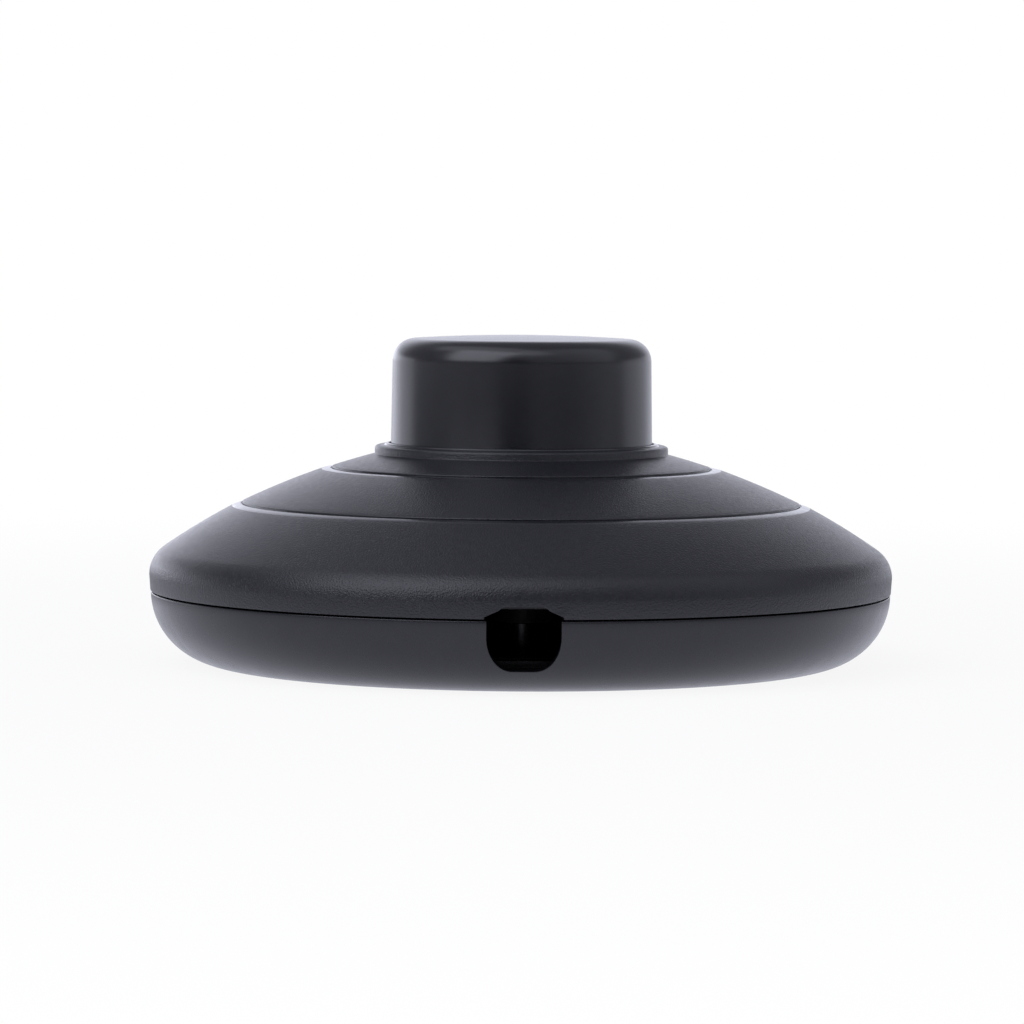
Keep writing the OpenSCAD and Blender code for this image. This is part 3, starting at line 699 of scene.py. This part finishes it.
def make_screw(length, head_r, steps=36):
    """One pan-head screw with a rolled thread and a cross recess. Its head's underside is at z = 0."""
    bm = bmesh.new()
    core = shank_r - thread_depth
    low, high = -length + THREAD_START * shank_r, -THREAD_END
    turns = (high - low) / thread_pitch
    quarters = len(THREAD_SHAPE)
    rows = math.ceil(quarters * (turns + 1))
    around = [2 * math.pi * j / steps for j in range(steps)]
    # Each row climbs by one pitch on its way round, so its end meets the start of the row one turn above
    lattice = []
    for i in range(rows + quarters + 1):
        row = []
        for j, a in enumerate(around):
            z = min(high, max(low, low + thread_pitch * (i / quarters + j / steps - 1)))
            fade = min(1.0, min(z - low, high - z) / (THREAD_FADE * thread_pitch))
            r = core + thread_depth * THREAD_SHAPE[i % quarters] * fade
            row.append(bm.verts.new((r * MM * math.cos(a), r * MM * math.sin(a), z * MM)))
        lattice.append(row)
    for i in range(rows):
        for j in range(steps - 1):
            bm.faces.new([lattice[i][j], lattice[i][j + 1], lattice[i + 1][j + 1], lattice[i + 1][j]])
        bm.faces.new([lattice[i][-1], lattice[i + quarters][0],
                      lattice[i + quarters + 1][0], lattice[i + 1][-1]])
    outline = [(core, 0.0), (head_r - HEAD_EDGE, 0.0), (head_r, HEAD_EDGE)]
    outline += [(head_r * across, head_h * up) for across, up in HEAD_SHAPE]
    below, above = lattice[0], lattice[rows]
    for r, z in outline:
        ring = [bm.verts.new((r * MM * math.cos(a), r * MM * math.sin(a), z * MM)) for a in around]
        for j in range(steps):
            k = (j + 1) % steps
            bm.faces.new([above[j], above[k], ring[k], ring[j]])
        above = ring
    for ring, z in ((below, -length), (above, head_h)):
        middle = bm.verts.new((0, 0, z * MM))
        for j in range(steps):
            bm.faces.new([ring[j], ring[(j + 1) % steps], middle])
    bmesh.ops.remove_doubles(bm, verts=bm.verts, dist=1e-7)
    screw = finished("screw_blank", bm, [zinc])
    # One slit at a time, because a boolean with two boxes that cross leaves nothing of the screw
    for turn in (0, 90):
        slit = bmesh.new()
        add_box(slit, (-SLIT_HALF_L * head_r, -SLIT_HALF_W * head_r, head_h * SLIT_FLOOR),
                (SLIT_HALF_L * head_r, SLIT_HALF_W * head_r, head_h + SUNK), turn)
        combine(screw, slit, "DIFFERENCE")
    return screw


def make_screws(node, head_r, places, upside_down=False):
    """All the screws of a CAD node, at those places."""
    low, high = (corner.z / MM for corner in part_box(node))
    seat = low + head_h if upside_down else high - head_h
    screw = make_screw(high - low - head_h, head_r)
    bm = bmesh.new()
    for x, y in places:
        matrix = Matrix.Translation((x * MM, y * MM, seat * MM))
        if upside_down:
            matrix = matrix @ Matrix.Rotation(math.pi, 4, "X")
        copy = screw.data.copy()
        copy.transform(matrix)
        bm.from_mesh(copy)
        bpy.data.meshes.remove(copy)
    bpy.data.objects.remove(screw)
    piece = finished(node + "_threaded", bm, [zinc])
    shade(piece, angle=40.0)
    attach(piece, "housing")
    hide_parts(node)


cover = make_top_cover()
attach(cover, "housing")
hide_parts("top_cover")
base = make_base_cover()
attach(base, "housing")
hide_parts("base_cover")
button = make_push_button()
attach(button, "button")
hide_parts("push_button")
spring = make_spring()
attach(spring, "housing")
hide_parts("return_spring")
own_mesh(spring)
make_screws("housing_screws", housing_head_r, screw_places(), upside_down=True)
make_screws("mechanism_screws", small_head_r, [(0, ear_y), (0, -ear_y)])
make_screws("clamp_screws", small_head_r, [(x, y) for x in (-clamp_x, clamp_x) for y in (-clamp_y, clamp_y)])
make_screws("terminal_screws", terminal_head_r,
            [polar(terminal_x, a) for a in (terminal_a, terminal_a + 180)])
make_screws("neutral_screws", small_head_r,
            [(neutral_x, neutral_y + y) for y in (-neutral_pitch / 2, neutral_pitch / 2)])

# Finishes of the CAD nodes that stay in view
finishes = {
    "plunger": ratchet_plastic, "ratchet_rotor": ratchet_plastic,
    "mechanism_cap": inner_plastic, "mechanism_body": inner_plastic,
    "contact_bridge": brass, "live_in_terminal": brass, "live_out_terminal": brass,
    "neutral_block": brass, "wire_washers": brass,
    "contact_tips": silver, "contact_spring": spring_wire,
    "front_cord_clamp": base_satin, "rear_cord_clamp": base_satin,
}
for name, finish in finishes.items():
    nodes[name].data.materials.clear()
    nodes[name].data.materials.append(finish)


# Studio, with its lengths in metres
COOL = (0.965, 0.98, 1.12)
BACK_LIGHT = 1.15
BACK_TURN = 4.5
BACK_EDGE = 0.69
SIDE_LIGHT = 0.29
SIDE_EDGE = -0.9
FLOOR_R = 1.5
FLOOR_GAP = 0.00002
FLOOR_COLOR = (0.88, 0.88, 0.88, 1)
# The floor's even white takes this share of what is seen of it, growing between these radii in metres
GLOW_SHARE = (0.9, 1.0)
GLOW_R = (0.06, 0.25)
# Reflections see a ring of the floor dimmer by this much, between its inner and its outer edge in metres
FLOOR_DIP = 0.45
DIP_IN_R = (0.055, 0.09)
DIP_OUT_R = (0.19, 0.3)
BOX_DISTANCE = 0.8
BOX_AIM = Vector((0, 0, 0.012))


def combined(tree, operation, a, b):
    """The result of one sum on two values, each a number or a socket."""
    node = tree.nodes.new("ShaderNodeMath")
    node.operation = operation
    for value, socket in ((a, node.inputs[0]), (b, node.inputs[1])):
        if isinstance(value, float):
            socket.default_value = value
        else:
            tree.links.new(value, socket)
    return node.outputs[0]


def share_of(tree, value, source, target):
    """A value spread smoothly from one range to another."""
    node = tree.nodes.new("ShaderNodeMapRange")
    node.interpolation_type = "SMOOTHSTEP"
    node.inputs["From Min"].default_value, node.inputs["From Max"].default_value = source
    node.inputs["To Min"].default_value, node.inputs["To Max"].default_value = target
    tree.links.new(value, node.inputs["Value"])
    return node.outputs["Result"]


def light_path_share(tree):
    """1 for what the camera, gloss or glass sees, and 0 for light that falls on a surface."""
    path = tree.nodes.new("ShaderNodeLightPath")
    total = path.outputs["Is Camera Ray"]
    for kind in ("Is Glossy Ray", "Is Transmission Ray"):
        total = combined(tree, "MAXIMUM", total, path.outputs[kind])
    return total


def cool_or_white(tree, seen):
    """White where the camera sees it, and the lamps' cool white for all else."""
    tint = tree.nodes.new("ShaderNodeMix")
    tint.data_type = "RGBA"
    cool, white = (socket for socket in tint.inputs if socket.type == "RGBA")
    cool.default_value = (*COOL, 1)
    white.default_value = (1, 1, 1, 1)
    tree.links.new(seen, tint.inputs["Factor"])
    return next(socket for socket in tint.outputs if socket.type == "RGBA")


def make_floor():
    """A plain white floor that keeps a faint shadow. In reflections a ring of it round the part is dimmer."""
    bm = bmesh.new()
    bmesh.ops.create_circle(bm, cap_ends=True, segments=96, radius=FLOOR_R,
                            matrix=Matrix.Translation((0, 0, -FLOOR_GAP)))
    floor_white = bpy.data.materials.new("floor_white")
    floor_white.use_nodes = True
    tree = floor_white.node_tree
    shader = tree.nodes["Principled BSDF"]
    shader.inputs["Base Color"].default_value = FLOOR_COLOR
    shader.inputs["Roughness"].default_value = 0.9
    shader.inputs["Specular IOR Level"].default_value = 0.0
    glow = tree.nodes.new("ShaderNodeEmission")
    path = tree.nodes.new("ShaderNodeLightPath")
    tree.links.new(cool_or_white(tree, path.outputs["Is Camera Ray"]), glow.inputs["Color"])
    mix = tree.nodes.new("ShaderNodeMixShader")
    place = tree.nodes.new("ShaderNodeTexCoord")
    distance = tree.nodes.new("ShaderNodeVectorMath")
    distance.operation = "LENGTH"
    tree.links.new(place.outputs["Object"], distance.inputs[0])
    fade = share_of(tree, distance.outputs["Value"], GLOW_R, GLOW_SHARE)
    near = share_of(tree, distance.outputs["Value"], DIP_IN_R, (0.0, FLOOR_DIP))
    wide = share_of(tree, distance.outputs["Value"], DIP_OUT_R, (0.0, FLOOR_DIP))
    dip = combined(tree, "SUBTRACT", near, wide)
    unseen = combined(tree, "SUBTRACT", 1.0, path.outputs["Is Camera Ray"])
    level = combined(tree, "SUBTRACT", 1.0, combined(tree, "MULTIPLY", dip, unseen))
    tree.links.new(level, glow.inputs["Strength"])
    tree.links.new(combined(tree, "MULTIPLY", light_path_share(tree), fade), mix.inputs[0])
    tree.links.new(shader.outputs[0], mix.inputs[1])
    tree.links.new(glow.outputs[0], mix.inputs[2])
    tree.links.new(mix.outputs[0], tree.nodes["Material Output"].inputs["Surface"])
    floor = finished("floor", bm, [floor_white])


def make_world():
    """White to the camera. All else sees the studio: a white wall behind, dim sides and a dark front."""
    world = bpy.data.worlds.new("studio")
    bpy.context.scene.world = world
    world.use_nodes = True
    tree = world.node_tree
    background = tree.nodes["Background"]
    place = tree.nodes.new("ShaderNodeTexCoord")
    direction = tree.nodes.new("ShaderNodeSeparateXYZ")
    tree.links.new(place.outputs["Generated"], direction.inputs[0])
    towards = tree.nodes.new("ShaderNodeVectorMath")
    towards.operation = "DOT_PRODUCT"
    a = math.radians(BACK_TURN)
    towards.inputs[1].default_value = (-math.sin(a), math.cos(a), 0)
    tree.links.new(place.outputs["Generated"], towards.inputs[0])
    behind = share_of(tree, towards.outputs["Value"], (BACK_EDGE, 1.0), (0.0, BACK_LIGHT))
    sides = share_of(tree, direction.outputs["Y"], (SIDE_EDGE, 0.0), (0.0, SIDE_LIGHT))
    path = tree.nodes.new("ShaderNodeLightPath")
    strength = tree.nodes.new("ShaderNodeMix")
    strength.inputs["B"].default_value = 1.0
    tree.links.new(path.outputs["Is Camera Ray"], strength.inputs["Factor"])
    tree.links.new(combined(tree, "ADD", behind, sides), strength.inputs["A"])
    tree.links.new(strength.outputs["Result"], background.inputs["Strength"])
    tree.links.new(cool_or_white(tree, path.outputs["Is Camera Ray"]), background.inputs["Color"])
    world.cycles.sampling_method = "NONE"


def softbox(name, azimuth, elevation, wide, high, level):
    """A soft lamp that faces the part. Azimuth is in degrees from -Y towards +X, wide and high are the angles
    that the lamp covers, and a level of 1 is as bright as a white wall."""
    a, e = math.radians(azimuth), math.radians(elevation)
    away = Vector((math.sin(a) * math.cos(e), -math.cos(a) * math.cos(e), math.sin(e)))
    lamp = bpy.data.lights.new(name, "AREA")
    lamp.shape = "RECTANGLE"
    lamp.size, lamp.size_y = (2 * BOX_DISTANCE * math.tan(math.radians(v / 2)) for v in (wide, high))
    lamp.energy = math.pi * level * lamp.size * lamp.size_y
    lamp.color = COOL
    holder = bpy.data.objects.new(name, lamp)
    holder.location = BOX_AIM + away * BOX_DISTANCE
    holder.rotation_euler = (-away).to_track_quat("-Z", "Y").to_euler()
    holder.visible_camera = False
    bpy.context.scene.collection.objects.link(holder)


softbox("key_box", azimuth=-46, elevation=38, wide=48, high=50, level=2.0)
softbox("top_box", azimuth=-48, elevation=72, wide=80, high=24, level=0.7)
softbox("fill_box", azimuth=48, elevation=41, wide=86, high=64, level=0.4)
softbox("low_left_box", azimuth=-142, elevation=5, wide=60, high=10, level=1.0)
softbox("low_right_box", azimuth=126, elevation=5, wide=50, high=10, level=0.5)
make_floor()
make_world()

# Camera: a long lens a little above the button, as in the photograph
CAMERA = (-4.3, -450.0, 41.44)
PITCH_DOWN = 3.457
YAW_RIGHT = 0.439
ROLL = 0.38
lens = bpy.data.cameras.new("camera")
lens.sensor_width = 36.0
lens.lens = 167.82
lens.clip_start = 0.01
camera = bpy.data.objects.new("camera", lens)
camera.location = Vector(CAMERA) * MM
yaw = Matrix.Rotation(math.radians(-YAW_RIGHT), 3, "Z")
pitch = Matrix.Rotation(math.radians(90 - PITCH_DOWN), 3, "X")
roll = Matrix.Rotation(math.radians(ROLL), 3, "Z")
camera.rotation_euler = (yaw @ pitch @ roll).to_euler()
bpy.context.scene.collection.objects.link(camera)
bpy.context.scene.camera = camera
bpy.context.scene.view_settings.view_transform = "Standard"
